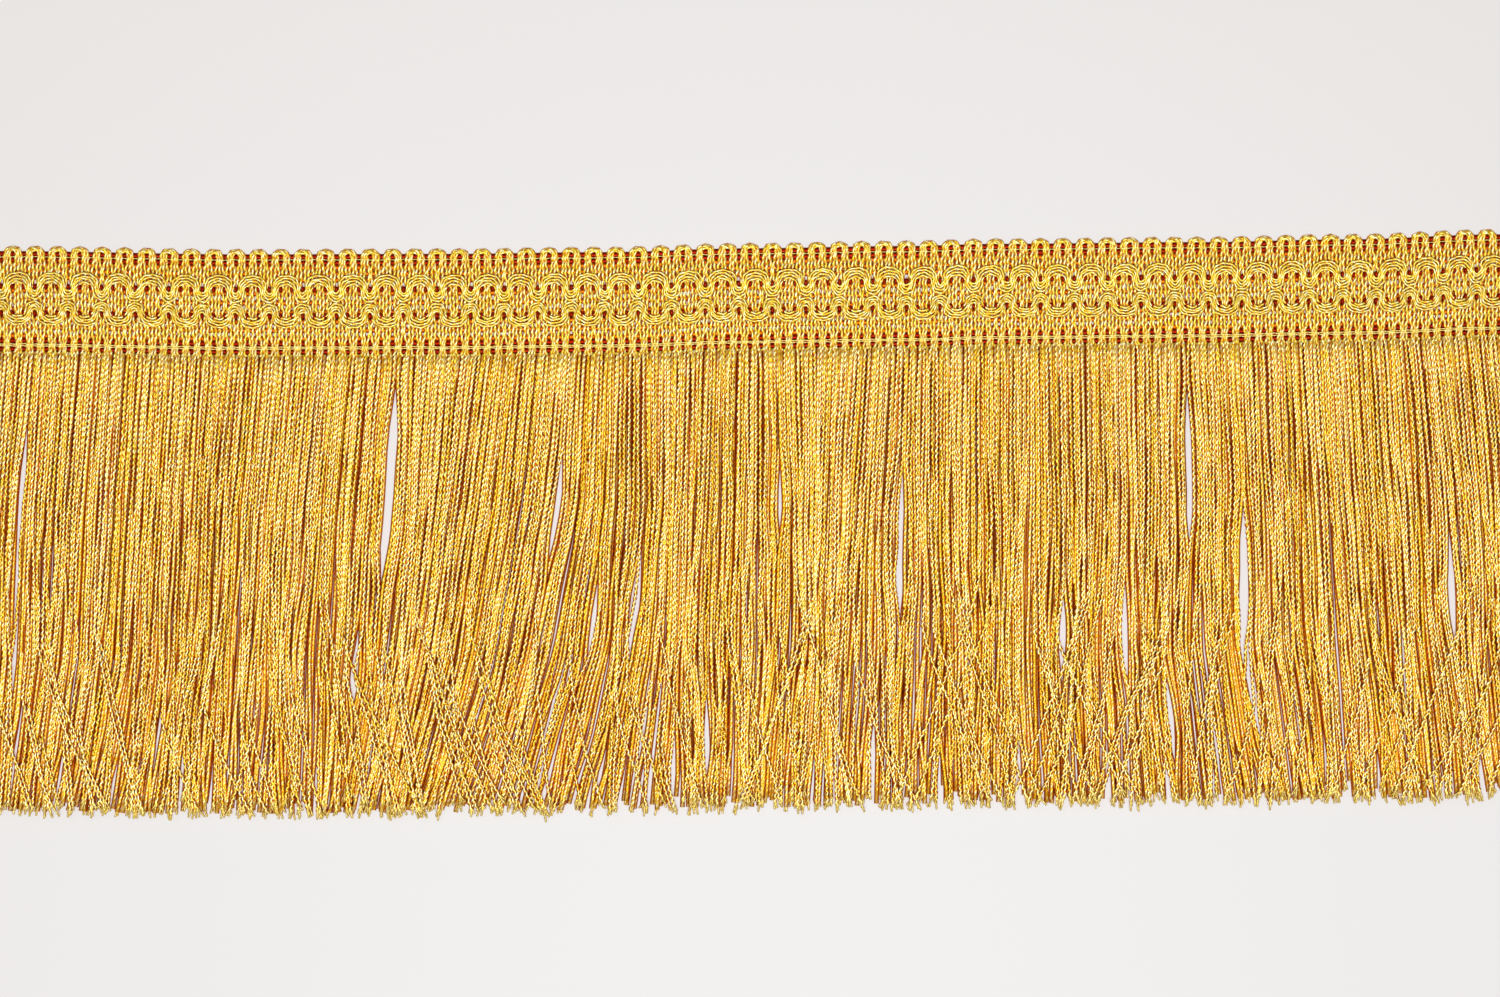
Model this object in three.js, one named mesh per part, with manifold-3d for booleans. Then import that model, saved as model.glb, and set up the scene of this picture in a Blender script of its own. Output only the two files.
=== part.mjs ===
// A cut length of looped fringe trim, lying flat with its back down.
// Millimetres, +Z up. +X runs along the trim and +Y points to the scalloped edge.
// The origin is the middle of the heading's back face.
import * as THREE from "three";
import { mergeVertices } from "three/addons/utils/BufferGeometryUtils.js";
import Module from "manifold-3d";

// Lengths along the trim. The weft yarn runs up one leg and down the next.
const LEG_PITCH = 2.0;
const LOOP_PITCH = 2 * LEG_PITCH;
const WAVE_PITCH = 3 * LEG_PITCH;
const CUT_LENGTH = 300;

// Heights across the trim, from the middle of the heading.
const CREST_Y = 9.4;
const NOTCH_Y = 8.0;
const HEADING_FOOT_Y = -9.4;
const CORD_LENGTH = 82.2;

// A scallop: half its width, and where its outline turns.
const SCALLOP_HALF = 0.45 * LOOP_PITCH;
const SCALLOP_ANGLES_DEG = [150, 90, 30];

// Thicknesses, and the gap that neighbouring pieces keep.
const HEADING_THICK = 1.2;
const GIMP_THICK = 0.6;
const GAP = 0.3;

// The long line of the heading isn't straight: it drifts a little across the table.
const SWAY = [
  { along: -150, rise: -0.3 },
  { along: -134, rise: -0.5 },
  { along: -90, rise: -1.1 },
  { along: -54, rise: -1.0 },
  { along: -27, rise: -0.7 },
  { along: 0, rise: 0 },
  { along: 27, rise: 0.4 },
  { along: 45, rise: 0.8 },
  { along: 80, rise: 1.1 },
  { along: 107, rise: 1.6 },
  { along: 134, rise: 2.5 },
  { along: 150, rise: 3.1 },
];

// How far the cords run sideways (+ is towards +X) by a third, two thirds and all of their length.
const LIE = [
  { along: -150, third: -1.5, twoThirds: -2.4, tip: -3.6 },
  { along: -127, third: -2.3, twoThirds: -3.6, tip: -6.6 },
  { along: -107, third: -1.7, twoThirds: -3.1, tip: -7.5 },
  { along: -87, third: -2.5, twoThirds: -4.1, tip: -5.7 },
  { along: -74, third: -2.6, twoThirds: -4.4, tip: -4.9 },
  { along: -60, third: -1.5, twoThirds: -4.3, tip: -8.9 },
  { along: -47, third: -3.4, twoThirds: -7.6, tip: -14.6 },
  { along: -34, third: -2.3, twoThirds: -7.3, tip: -15.1 },
  { along: -20, third: -0.1, twoThirds: -2.4, tip: -8.4 },
  { along: -7, third: -0.9, twoThirds: -2.0, tip: -1.4 },
  { along: 7, third: 0.5, twoThirds: 0.5, tip: -2.2 },
  { along: 20, third: -1.7, twoThirds: -3.2, tip: -4.9 },
  { along: 34, third: -0.1, twoThirds: 0.4, tip: 0 },
  { along: 60, third: 0.3, twoThirds: -0.2, tip: 0.6 },
  { along: 74, third: 0.4, twoThirds: -0.2, tip: 2.3 },
  { along: 87, third: 1.1, twoThirds: 1.8, tip: 6.0 },
  { along: 107, third: 1.4, twoThirds: 3.3, tip: 5.2 },
  { along: 127, third: 2.6, twoThirds: 4.2, tip: 7.4 },
  { along: 150, third: 1.5, twoThirds: 2.6, tip: 4.0 },
];

// Where one lock of cords parts from the next: its place along the heading, the share of the
// cords' length at which it opens, its widest gap, and how far the lock on its left stops short
// of the longest cords.
const PARTINGS = [
  { along: -139, opens: 0.8, gap: 1.2, short: 0.4 },
  { along: -128, opens: 0.2, gap: 1.4, short: 0.9 },
  { along: -117, opens: 0.85, gap: 1.2, short: 0.3 },
  { along: -107, opens: 0.7, gap: 0.8, short: 0.0 },
  { along: -97, opens: 0.88, gap: 1.4, short: 0.5 },
  { along: -88, opens: 0.8, gap: 1.0, short: 0.2 },
  { along: -80, opens: 0.45, gap: 0.8, short: 0.6 },
  { along: -72, opens: 0.86, gap: 1.2, short: 0.0 },
  { along: -64, opens: 0.15, gap: 1.6, short: 0.4 },
  { along: -55, opens: 0.8, gap: 1.0, short: 0.8 },
  { along: -46, opens: 0.75, gap: 0.8, short: 0.3 },
  { along: -37, opens: 0.7, gap: 1.4, short: 1.0 },
  { along: -28, opens: 0.6, gap: 1.2, short: 0.5 },
  { along: -19, opens: 0.45, gap: 2.8, short: 1.3 },
  { along: -11, opens: 0.7, gap: 1.6, short: 0.3 },
  { along: -3, opens: 0.85, gap: 2.4, short: 0.9 },
  { along: 5, opens: 0.25, gap: 1.3, short: 0.4 },
  { along: 15, opens: 0.85, gap: 1.0, short: 0.7 },
  { along: 25, opens: 0.7, gap: 1.6, short: 0.2 },
  { along: 36, opens: 0.55, gap: 1.8, short: 0.8 },
  { along: 47, opens: 0.85, gap: 1.2, short: 0.4 },
  { along: 58, opens: 0.8, gap: 1.2, short: 1.2 },
  { along: 70, opens: 0.7, gap: 1.6, short: 0.3 },
  { along: 79, opens: 0.85, gap: 1.0, short: 0.6 },
  { along: 88, opens: 0.35, gap: 1.8, short: 0.2 },
  { along: 97, opens: 0.8, gap: 1.2, short: 0.9 },
  { along: 105, opens: 0.75, gap: 1.0, short: 0.4 },
  { along: 113, opens: 0.65, gap: 2.0, short: 1.1 },
  { along: 123, opens: 0.85, gap: 1.4, short: 0.5 },
  { along: 132, opens: 0.8, gap: 1.2, short: 0.0 },
  { along: 141, opens: 0.85, gap: 1.4, short: 0.7 },
];
const LAST_LOCK_SHORT = 0.5;

// A lock's section: upright sides, and a crown along its middle.
const LOCK_SIDE = 1.0;
const LOCK_CROWN = 2.0;
const LOCK_SEAM_LAP = 0.2;
const LOCK_STATIONS = [0, 0.17, 0.4, 0.6, 0.78, 0.9, 0.97, 1];
const TIP_TAPER = { 0.97: 0.94, 1: 0.74 };

// The two gimp waves. For each: its row, half the opening under a crest and over a trough, how
// far its outer edges reach up and down from the row, the band's width at a turn, and the share
// of a wave from the first leg of the weft to a crest.
const WAVES = {
  upper: { row: 2.1, crestHalf: 1.0, troughHalf: 0.45, up: 2.75, down: 2.4, band: 2.0, shift: 0 },
  lower: { row: -2.7, crestHalf: 0.45, troughHalf: 1.0, up: 2.1, down: 2.3, band: 1.8, shift: 0.5 },
};
const ARC_ANGLES_DEG = [160, 128, 90, 52, 20];

const GOLD = 0xd7a444;

// Reads a named column between two rows of a table, along a smooth curve.
function readTable(table, along, column) {
  const before = table.findLastIndex((row) => row.along <= along);
  const index = Math.min(Math.max(before, 0), table.length - 2);
  const [from, to] = [table[index], table[index + 1]];
  const share = THREE.MathUtils.clamp((along - from.along) / (to.along - from.along), 0, 1);
  return THREE.MathUtils.lerp(from[column], to[column], THREE.MathUtils.smoothstep(share, 0, 1));
}

const sway = (along) => readTable(SWAY, along, "rise");

// The sideways run of the cords that leave the heading at this place, at a share of their length.
function sidewaysRun(along, share) {
  const marks = [0, ...["third", "twoThirds", "tip"].map((column) => readTable(LIE, along, column))];
  const step = Math.min(Math.floor(share * 3), 2);
  return THREE.MathUtils.lerp(marks[step], marks[step + 1], share * 3 - step);
}

function extrudeOutline(points, bottom, thickness) {
  const shape = new THREE.Shape(points);
  const geometry = new THREE.ExtrudeGeometry(shape, { depth: thickness, bevelEnabled: false });
  return geometry.translate(0, 0, bottom);
}

// The heading: looped weft bound flat, with one scallop for each pair of legs on its top edge.
function headingGeometry() {
  const points = [];
  const loops = Math.round(CUT_LENGTH / LOOP_PITCH);
  const edgeX = (index) => -CUT_LENGTH / 2 + index * LOOP_PITCH;
  for (let loop = 0; loop < loops; loop += 1) {
    const middle = edgeX(loop + 0.5);
    points.push(new THREE.Vector2(edgeX(loop), sway(edgeX(loop)) + NOTCH_Y));
    for (const degrees of SCALLOP_ANGLES_DEG) {
      const turn = THREE.MathUtils.degToRad(degrees);
      const x = middle + SCALLOP_HALF * Math.cos(turn);
      points.push(new THREE.Vector2(x, sway(middle) + NOTCH_Y + (CREST_Y - NOTCH_Y) * Math.sin(turn)));
    }
  }
  points.push(new THREE.Vector2(edgeX(loops), sway(edgeX(loops)) + NOTCH_Y));
  const feet = [edgeX(0), ...PARTINGS.map((parting) => parting.along), edgeX(loops)];
  for (const along of feet.toReversed()) {
    points.push(new THREE.Vector2(along, sway(along) + HEADING_FOOT_Y));
  }
  return extrudeOutline(points, 0, HEADING_THICK);
}

// One edge of a gimp wave: a broad arc at one turn and a narrow notch at the other.
function waveEdge(wave, edge) {
  const points = [];
  const waves = Math.round(CUT_LENGTH / WAVE_PITCH);
  const topEdge = edge === "top";
  const broad = WAVE_PITCH / 2 - (topEdge ? wave.troughHalf : wave.crestHalf);
  const sign = topEdge ? 1 : -1;
  const reach = topEdge ? wave.up : wave.down;
  const notchReach = (topEdge ? wave.down : wave.up) - wave.band;
  const firstLeg = (LEG_PITCH - CUT_LENGTH) / 2;
  const start = firstLeg + WAVE_PITCH * (topEdge ? wave.shift : wave.shift + 0.5);
  for (let turn = -1; turn <= waves; turn += 1) {
    const arcX = start + turn * WAVE_PITCH;
    for (const degrees of ARC_ANGLES_DEG) {
      const angle = THREE.MathUtils.degToRad(degrees);
      points.push(new THREE.Vector2(arcX + broad * Math.cos(angle), sign * reach * Math.sin(angle)));
    }
    points.push(new THREE.Vector2(arcX + WAVE_PITCH / 2, -sign * notchReach));
  }
  return points;
}

// A flat gimp braid sewn along the heading in waves, a little above its face.
function gimpGeometry(wave) {
  const outline = [...waveEdge(wave, "top"), ...waveEdge(wave, "bottom").toReversed()];
  const inside = outline.filter((point) => Math.abs(point.x) <= CUT_LENGTH / 2 - GAP);
  const placed = inside.map((point) => new THREE.Vector2(point.x, point.y + wave.row + sway(point.x)));
  return extrudeOutline(placed, HEADING_THICK + GAP, GIMP_THICK);
}

// One side of a lock, from its root to its tip. A side past its parting's opening draws back.
function lockSide(parting, share, side) {
  const { along, opens, gap, lap = LOCK_SEAM_LAP } = parting;
  const opened = THREE.MathUtils.clamp((share - opens) / (1 - opens), 0, 1);
  const reach = THREE.MathUtils.lerp(-lap, gap / 2, Math.sqrt(opened));
  return along + sidewaysRun(along, share) + side * reach;
}

// The section of a lock at a share of its length: two bottom corners, two shoulders and a crown.
function lockSection(left, right, short, share) {
  const root = sway((left.along + right.along) / 2) + HEADING_FOOT_Y - GAP;
  const taper = TIP_TAPER[share] ?? 1;
  const [x0, x1] = [lockSide(left, share, 1), lockSide(right, share, -1)];
  const middle = (x0 + x1) / 2;
  const half = ((x1 - x0) / 2) * taper;
  const tilt = (parting) => (share === 0 ? sway(parting.along) + HEADING_FOOT_Y - GAP - root : 0);
  const y = root - (CORD_LENGTH - short) * share;
  return [
    [middle - half, y + tilt(left), 0],
    [middle + half, y + tilt(right), 0],
    [middle + half, y + tilt(right), LOCK_SIDE],
    [middle, y, LOCK_CROWN],
    [middle - half, y + tilt(left), LOCK_SIDE],
  ];
}

// Joins sections of the same number of points into one closed body, capped at both ends.
function loftSections(sections) {
  const size = sections[0].length;
  const triangles = [];
  for (let row = 0; row < sections.length - 1; row += 1) {
    for (let corner = 0; corner < size; corner += 1) {
      const [a, b] = [row * size + corner, row * size + ((corner + 1) % size)];
      triangles.push(a, b, a + size, b, b + size, a + size);
    }
  }
  const last = (sections.length - 1) * size;
  for (let corner = 1; corner < size - 1; corner += 1) {
    triangles.push(0, corner + 1, corner, last, last + corner, last + corner + 1);
  }
  const geometry = new THREE.BufferGeometry();
  geometry.setAttribute("position", new THREE.Float32BufferAttribute(sections.flat(2), 3));
  geometry.setIndex(triangles);
  return geometry;
}

function toSolid(wasm, geometry) {
  const bare = geometry.clone();
  bare.deleteAttribute("normal");
  bare.deleteAttribute("uv");
  const merged = mergeVertices(bare);
  const vertProperties = new Float32Array(merged.attributes.position.array);
  const triVerts = new Uint32Array(merged.index.array);
  return new wasm.Manifold(new wasm.Mesh({ numProp: 3, vertProperties, triVerts }));
}

function fromSolid(solid) {
  const { vertProperties, triVerts } = solid.getMesh();
  const geometry = new THREE.BufferGeometry();
  geometry.setAttribute("position", new THREE.Float32BufferAttribute(vertProperties, 3));
  geometry.setIndex([...triVerts]);
  geometry.computeVertexNormals();
  return geometry;
}

// The fringe: locks of hanging cords side by side, joined along the heading as one comb.
function fringeGeometry(wasm) {
  const ends = [-1, 1].map((side) => ({ along: (side * CUT_LENGTH) / 2, opens: 0, gap: 0, lap: 0 }));
  const edges = [ends[0], ...PARTINGS, ends[1]];
  let comb = null;
  for (let index = 0; index < edges.length - 1; index += 1) {
    const [left, right] = [edges[index], edges[index + 1]];
    const short = right.short ?? LAST_LOCK_SHORT;
    const sections = LOCK_STATIONS.map((share) => lockSection(left, right, short, share));
    const lock = toSolid(wasm, loftSections(sections));
    comb = comb ? comb.add(lock) : lock;
  }
  return fromSolid(comb);
}

const wasm = await Module();
wasm.setup();

function piece(name, geometry, roughness) {
  const material = new THREE.MeshStandardMaterial({ color: GOLD, roughness, metalness: 0 });
  const mesh = new THREE.Mesh(geometry, material);
  mesh.name = name;
  return mesh;
}

const trim = new THREE.Group();
trim.add(piece("heading", headingGeometry(), 0.5));
trim.add(piece("gimp_upper", gimpGeometry(WAVES.upper), 0.45));
trim.add(piece("gimp_lower", gimpGeometry(WAVES.lower), 0.45));
trim.add(piece("fringe", fringeGeometry(wasm), 0.4));

export default trim;
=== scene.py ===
# %% [markdown]
# # A gold fringe trim, built yarn by yarn
#
# The trim is a narrow looped heading with a skirt of cut, twisted cords. Nothing on it is a
# printed pattern: nearly every light and dark spot comes from a yarn that passes over or
# under another. So the scene makes the yarns themselves, up to two hundred thousand small
# faces at a time, and lets the light do the rest.
#
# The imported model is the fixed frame. It gives the place and size of each piece, and each
# piece made here stands for one of its nodes.

# %% Load the frame
import math

import bpy
import numpy as np
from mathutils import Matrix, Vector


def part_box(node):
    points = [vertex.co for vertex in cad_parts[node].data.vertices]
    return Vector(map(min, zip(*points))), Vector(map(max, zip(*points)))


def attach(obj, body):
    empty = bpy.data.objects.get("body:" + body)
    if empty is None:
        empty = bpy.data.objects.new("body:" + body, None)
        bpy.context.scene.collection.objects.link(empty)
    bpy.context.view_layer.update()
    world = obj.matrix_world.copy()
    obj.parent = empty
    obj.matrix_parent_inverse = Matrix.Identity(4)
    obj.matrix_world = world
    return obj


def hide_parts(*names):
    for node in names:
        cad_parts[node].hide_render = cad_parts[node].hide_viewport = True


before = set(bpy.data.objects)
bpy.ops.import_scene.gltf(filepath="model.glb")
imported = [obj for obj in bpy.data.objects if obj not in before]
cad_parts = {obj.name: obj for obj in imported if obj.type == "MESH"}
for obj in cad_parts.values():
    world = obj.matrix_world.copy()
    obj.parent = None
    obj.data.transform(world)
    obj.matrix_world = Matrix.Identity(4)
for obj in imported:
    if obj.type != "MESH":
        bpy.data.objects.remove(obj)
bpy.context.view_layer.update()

MM = 0.001
heading_low, heading_high = (np.array(corner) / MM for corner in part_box("heading"))
fringe_low, fringe_high = (np.array(corner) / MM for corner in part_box("fringe"))
print("heading from", heading_low.round(1), "to", heading_high.round(1), "mm")
print("fringe from", fringe_low.round(1), "to", fringe_high.round(1), "mm")

# %% [markdown]
# ## Sizes that the whole trim shares
#
# A trim like this is made on a crochet machine. One bundle of weft yarns runs up one leg and
# down the next, turns in a loop at the top edge, and hangs out as cut cords at the bottom.
# So one number, the leg pitch, sets the spacing of nearly everything. All sizes are in
# millimetres, and are turned into metres when a mesh is made.

# %% Shared sizes
LEG_PITCH = 2.0
CUT_LENGTH = heading_high[0] - heading_low[0]
LEGS = round(CUT_LENGTH / LEG_PITCH)
FOOT_Y = -9.4
CORD_LENGTH = 82.2
first_leg_x = heading_low[0] + LEG_PITCH / 2
print(LEGS, "legs of weft over", round(CUT_LENGTH, 1), "mm")

# %% [markdown]
# ## How the trim lies
#
# A soft band never lies quite straight. Two short tables say how the heading drifts across
# the table top, and how far the cords run sideways on their way down. A smooth step between
# rows keeps the curve free of corners. They are the same tables as the solid model's. A
# third table says where the skirt parts, how far down that starts and ends, and how
# strongly it pushes the cords aside. A parting that closes at 2 stays open to the tips.

# %% Tables of the lie
SWAY = np.array([
    # along, rise
    (-150, -0.3), (-134, -0.5), (-90, -1.1), (-54, -1.0), (-27, -0.7), (0, 0.0),
    (27, 0.4), (45, 0.8), (80, 1.1), (107, 1.6), (134, 2.5), (150, 3.1),
])

LIE = np.array([
    # along, sideways run by a third, by two thirds and at the tip
    (-150, -1.5, -2.4, -3.6),
    (-127, -2.3, -3.6, -6.6),
    (-107, -1.7, -3.1, -7.5),
    (-87, -2.5, -4.1, -5.7),
    (-74, -2.6, -4.4, -4.9),
    (-60, -1.5, -4.3, -8.9),
    (-47, -3.4, -7.6, -14.6),
    (-34, -2.3, -7.3, -15.1),
    (-20, -0.1, -2.4, -8.4),
    (-7, -0.9, -2.0, -1.4),
    (7, 0.5, 0.5, -2.2),
    (20, -1.7, -3.2, -4.9),
    (34, -0.1, 0.4, 0.0),
    (60, 0.3, -0.2, 0.6),
    (74, 0.4, -0.2, 2.3),
    (87, 1.1, 1.8, 6.0),
    (107, 1.4, 3.3, 5.2),
    (127, 2.6, 4.2, 7.4),
    (150, 1.5, 2.6, 4.0),
])

PARTINGS = np.array([
    # along, share of the length where it opens, where it closes again, strength
    (-139, 0.80, 2.0, 1.0),
    (-128, 0.15, 0.9, 2.0),
    (-117, 0.85, 2.0, 1.0),
    (-107, 0.70, 2.0, 0.7),
    (-97, 0.88, 2.0, 1.2),
    (-88, 0.80, 2.0, 0.8),
    (-84, 0.65, 0.91, 2.4),
    (-80, 0.36, 0.55, 1.6),
    (-72, 0.86, 2.0, 1.0),
    (-66, 0.60, 0.82, 3.8),
    (-63, 0.06, 0.52, 3.6),
    (-55, 0.80, 2.0, 0.8),
    (-46, 0.75, 2.0, 0.7),
    (-37, 0.70, 2.0, 1.4),
    (-32, 0.21, 0.51, 2.6),
    (-28, 0.60, 2.0, 1.2),
    (-25, 0.44, 0.73, 2.4),
    (-24, 0.78, 0.94, 2.2),
    (-20, 0.80, 2.0, 4.4),
    (-19, 0.42, 0.72, 3.0),
    (-11, 0.82, 2.0, 3.2),
    (-6, 0.76, 2.0, 3.0),
    (-2, 0.85, 2.0, 1.6),
    (5, 0.22, 0.46, 2.6),
    (15, 0.85, 2.0, 0.8),
    (25, 0.80, 2.0, 2.8),
    (28, 0.24, 0.62, 2.8),
    (38, 0.50, 0.86, 3.2),
    (47, 0.80, 2.0, 2.4),
    (56, 0.52, 0.78, 2.8),
    (67, 0.50, 0.80, 3.0),
    (74, 0.68, 0.97, 2.8),
    (78, 0.08, 0.48, 2.6),
    (87, 0.32, 0.98, 3.4),
    (97, 0.80, 2.0, 1.0),
    (105, 0.75, 2.0, 0.8),
    (113, 0.62, 2.0, 2.0),
    (122, 0.42, 0.71, 2.8),
    (124, 0.85, 2.0, 1.2),
    (132, 0.80, 2.0, 1.0),
    (141, 0.85, 2.0, 1.2),
])


def read_table(table, along, column):
    """A column of a table, read at each place along the trim on a smooth curve."""
    along = np.asarray(along, float)
    row = np.clip(np.searchsorted(table[:, 0], along, side="right") - 1, 0, len(table) - 2)
    before, after = table[row, 0], table[row + 1, 0]
    share = np.clip((along - before) / (after - before), 0, 1)
    share = share * share * (3 - 2 * share)
    return table[row, column] * (1 - share) + table[row + 1, column] * share


def sway(along):
    """How far the heading has drifted up at each place along it."""
    return read_table(SWAY, along, 1)


def sideways_run(along, share):
    """How far a cord has run sideways by a share of its length, from where it hangs."""
    third, two_thirds, tip = (read_table(LIE, along, column) for column in (1, 2, 3))
    run = third * np.clip(3 * share, 0, 1)
    run = run + (two_thirds - third) * np.clip(3 * share - 1, 0, 1)
    return run + (tip - two_thirds) * np.clip(3 * share - 2, 0, 1)


print("the heading drifts", round(float(sway(150) - sway(-90)), 1), "mm over its length")

# %% [markdown]
# ## The camera and the light
#
# The trim lies flat and is seen from straight above, so the camera looks down its own axis
# with a long lens, which keeps the legs of the weft at one pitch from side to side. Satin
# yarn needs a broad soft light to show its body and a smaller bright one to put a spark on
# every turn of the twist, so there are two lamps and a pale sky.

# %% Camera
VIEW_WIDTH = 268.8
VIEW_CENTRE = (0, -36.4)
LENS = 100
SENSOR = 36

camera_data = bpy.data.cameras.new("camera")
camera_data.lens = LENS
camera_data.sensor_width = SENSOR
camera = bpy.data.objects.new("camera", camera_data)
camera.location = (VIEW_CENTRE[0] * MM, VIEW_CENTRE[1] * MM, VIEW_WIDTH * MM * LENS / SENSOR)
bpy.context.scene.collection.objects.link(camera)
bpy.context.scene.camera = camera
print("camera", round(camera.location.z, 3), "m above the table")

# %% Lamps and sky
LAMPS = (
    # name, place in metres, size in metres, watts
    ("broad_lamp", (-0.25, 0.35, 1.1), 0.9, 2.0),
    ("spark_lamp", (0.02, -0.22, 1.0), 0.30, 10.0),
)
SKY = (0.98, 0.97, 0.96)
SKY_STRENGTH = 0.20

for name, place, size, watts in LAMPS:
    lamp_data = bpy.data.lights.new(name, "AREA")
    lamp_data.size = size
    lamp_data.energy = watts
    lamp = bpy.data.objects.new(name, lamp_data)
    lamp.location = place
    aim = camera.location.copy()
    aim.z = 0
    lamp.rotation_euler = (aim - lamp.location).to_track_quat("-Z", "Y").to_euler()
    bpy.context.scene.collection.objects.link(lamp)

world = bpy.data.worlds.new("sky")
world.use_nodes = True
world.node_tree.nodes["Background"].inputs["Color"].default_value = (*SKY, 1)
world.node_tree.nodes["Background"].inputs["Strength"].default_value = SKY_STRENGTH
bpy.context.scene.world = world
bpy.context.scene.view_settings.view_transform = "Standard"
print(len(LAMPS), "lamps and a sky of strength", SKY_STRENGTH)

# %% [markdown]
# ## Writing a material as a sum
#
# A material is a small calculation. Drawing it as boxes and lines is slow to read, so two
# helpers let it be written as Python. `Wire` is the output of a node: adding or multiplying
# wires adds Math nodes. `Paint` owns one material, and its `add` makes any node from its
# type, its settings and the values or wires of its sockets.

# %% Wire and Paint
class Wire:
    """A node's output. Arithmetic with it adds Math nodes."""

    def __init__(self, paint, socket):
        self.paint = paint
        self.socket = socket

    def math(self, operation, *others):
        sockets = dict(enumerate((self, *others)))
        return self.paint.add("ShaderNodeMath", {"operation": operation}, sockets)

    def __add__(self, other):
        return self.math("ADD", other)

    def __mul__(self, other):
        return self.math("MULTIPLY", other)

    def __sub__(self, other):
        return self.math("SUBTRACT", other)

    def __rsub__(self, other):
        return self * -1 + other

    __radd__ = __add__
    __rmul__ = __mul__

    def within(self, low, high):
        """The share of the way from low to high, held between 0 and 1."""
        settings = {"clamp": True}
        return self.paint.add("ShaderNodeMapRange", settings, {0: self, 1: low, 2: high})


class Paint:
    """Makes one material's nodes."""

    def __init__(self, name):
        self.material = bpy.data.materials.new(name)
        self.material.use_nodes = True
        self.tree = self.material.node_tree
        self.tree.nodes.clear()

    def add(self, kind, settings, sockets, output=0):
        node = self.tree.nodes.new(kind)
        for setting, value in settings.items():
            setattr(node, setting, value)
        for key, value in sockets.items():
            socket = node.inputs[key]
            if isinstance(value, Wire):
                self.tree.links.new(value.socket, socket)
            else:
                socket.default_value = value
        return Wire(self, node.outputs[output])

    def attribute(self, name):
        return self.add("ShaderNodeAttribute", {"attribute_name": name}, {}, "Fac")

    def mix(self, share, first, second):
        """Two colours, mixed. Sockets 0, 6 and 7 of a colour Mix are its share and colours."""
        settings = {"data_type": "RGBA"}
        return self.add("ShaderNodeMix", settings, {0: share, 6: first, 7: second}, 2)

    def finish(self, shader):
        out = self.tree.nodes.new("ShaderNodeOutputMaterial")
        self.tree.links.new(shader.socket, out.inputs["Surface"])
        return self.material


# %% [markdown]
# ## The table top
#
# The trim was laid on a plain pale sheet with light behind it, so the sheet stays bright in
# the narrow gaps between cords, where a lit but solid table would go grey. A flat face that
# glows a little and scatters the rest of the light does the same.

# %% Table top
TABLE_SIZE = 4.0
TABLE_COLOUR = (0.265, 0.375, 0.44, 1)
TABLE_GLOW = (0.46, 0.31, 0.225, 1)
TABLE_GLOW_STRENGTH = 1.0

table_paint = Paint("table_top")
table_shader = table_paint.add("ShaderNodeBsdfPrincipled", {}, {
    "Base Color": TABLE_COLOUR,
    "Roughness": 0.55,
    "Emission Color": TABLE_GLOW,
    "Emission Strength": TABLE_GLOW_STRENGTH,
})
half = TABLE_SIZE / 2
table_corners = [(-half, -half, 0), (half, -half, 0), (half, half, 0), (-half, half, 0)]
table_mesh = bpy.data.meshes.new("table_top")
table_mesh.from_pydata(table_corners, [], [(0, 1, 2, 3)])
table_mesh.materials.append(table_paint.finish(table_shader))
table_top = bpy.data.objects.new("table_top", table_mesh)
bpy.context.scene.collection.objects.link(table_top)

# %% [markdown]
# ## Gold yarn
#
# The yarn is rayon, spun smooth and dyed gold. Four things make it look like gold rather
# than yellow paint. Its highlights are tinted, because the light travels through dyed
# fibre. Where two plies or two yarns meet, light has bounced from yarn to yarn several
# times and turns a rusty red, which is painted in as shade. Single fibres catch the light
# as pale flecks, painted in as highlights. And no two yarns are quite the same shade.
#
# The twist is drawn by two numbers on the mesh: `around` is a point's share of the way
# round its yarn, and `turns` counts the turns of the twist along it. A cosine of the two
# together is 1 on top of a ply and -1 in the groove between plies, and the groove gets
# painted shade. Other numbers say how far a point is down the `side` of its yarn, which
# also gets painted shade, how `deep` the yarn lies under others, which darkens it with
# painted shade, the yarn's own `tone`, and where a cut end is `frayed`.

# %% Colours of the yarn
GOLD = (0.87, 0.775, 0.095, 1)
DULL_GOLD = (0.80, 0.56, 0.024, 1)
# Painted highlight: pale gold for flecks of light on the crests of the plies
HIGHLIGHT_GOLD = (1.0, 0.98, 0.55, 1)
# Painted shade: rusty red for grooves, sides and yarns under others, dark red for the deepest
GOLD_IN_SHADE = (0.62, 0.11, 0.001, 1)
GOLD_IN_DEEP_SHADE = (0.24, 0.008, 0.001, 1)
FRAYED = (1.0, 0.79, 0.22, 1)
SPARK_TINT = (1.0, 0.84, 0.24, 1)

# %% Gold yarn
FLECK_SCALE = 2400.0
FLECK_STRETCH = (1.0, 0.55, 1.0)
FIBRE_SCALE = 6500.0
FIBRE_STRETCH = (1.0, 0.25, 1.0)
FIBRE_RELIEF = 0.5
DARK_METALLIC = 0.20
YARN_SPECULAR = 0.08
TONE_WEIGHT = 0.06
GOLD_RANGE = (0.30, 0.50)
HIGHLIGHT_RANGE = (0.45, 0.58)
HIGHLIGHT_CREST_RANGE = (0.2, 0.8)
GROOVE_SHADE_RANGE = (0.35, 1.0)
SIDE_SHADE_RANGE = (0.28, 0.74)
DEEP_SHADE_RANGE = (0.0, 0.5)
DEEPEST_SHADE_RANGE = (0.5, 1.0)


def noise(paint, place, stretch, scale):
    """Noise in lumps per metre, stretched along the axes of the trim."""
    multiply = {"operation": "MULTIPLY"}
    stretched = paint.add("ShaderNodeVectorMath", multiply, {0: place, 1: stretch})
    noise_inputs = {"Vector": stretched, "Scale": scale, "Detail": 1.0}
    return paint.add("ShaderNodeTexNoise", {}, noise_inputs)


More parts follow.
